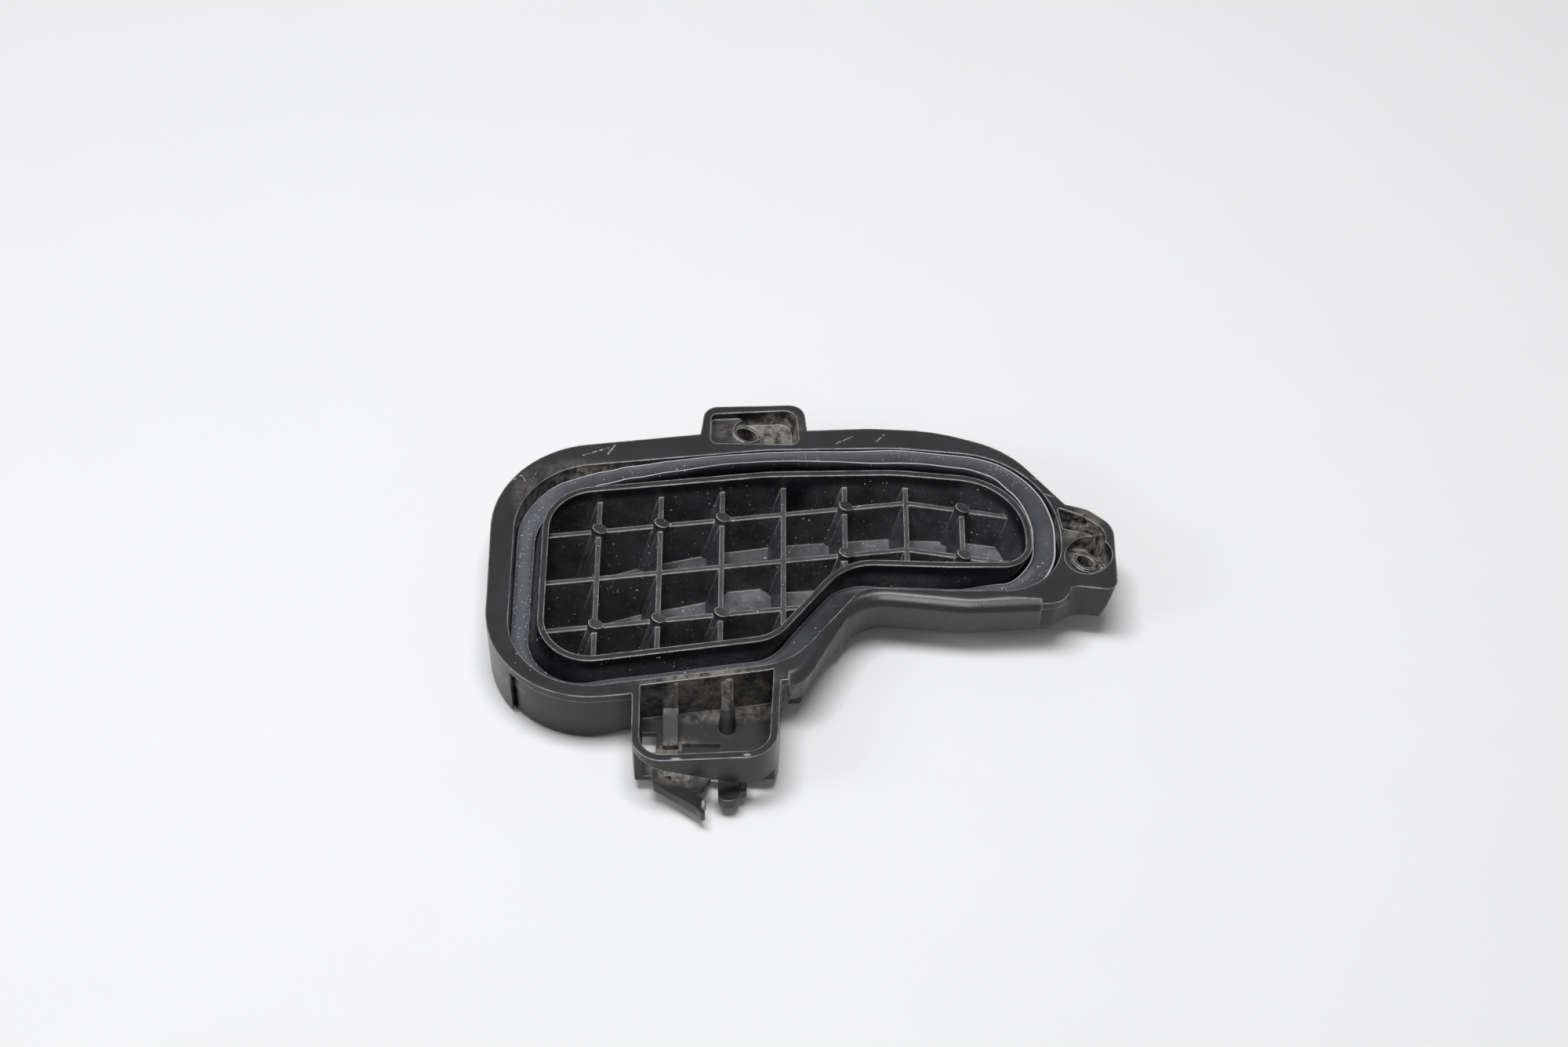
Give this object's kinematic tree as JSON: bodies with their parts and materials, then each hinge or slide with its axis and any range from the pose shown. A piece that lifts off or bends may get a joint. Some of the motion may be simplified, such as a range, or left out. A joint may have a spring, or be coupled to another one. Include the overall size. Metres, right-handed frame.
{
  "type": "rear access cover of a vehicle headlamp",
  "caption": "Black moulded rear cover of a vehicle headlamp with a ribbed basin, raised inner ring, rubber seal, two screw lugs and a broken latch box.",
  "frame": {"origin": "centre of the bounding box at the underside", "axes": "+X along the cover towards the right screw lug, +Y towards the rear screw lug, +Z out of the open side, square to the sealing flange"},
  "size_m": [0.189, 0.1414, 0.0234],
  "materials": {
    "black_plastic": "satin",
    "seal_rubber": "matte"
  },
  "bodies": {
    "root": {"headlamp_cover": "black_plastic", "seal_ring": "seal_rubber"}
  },
  "joints": []
}
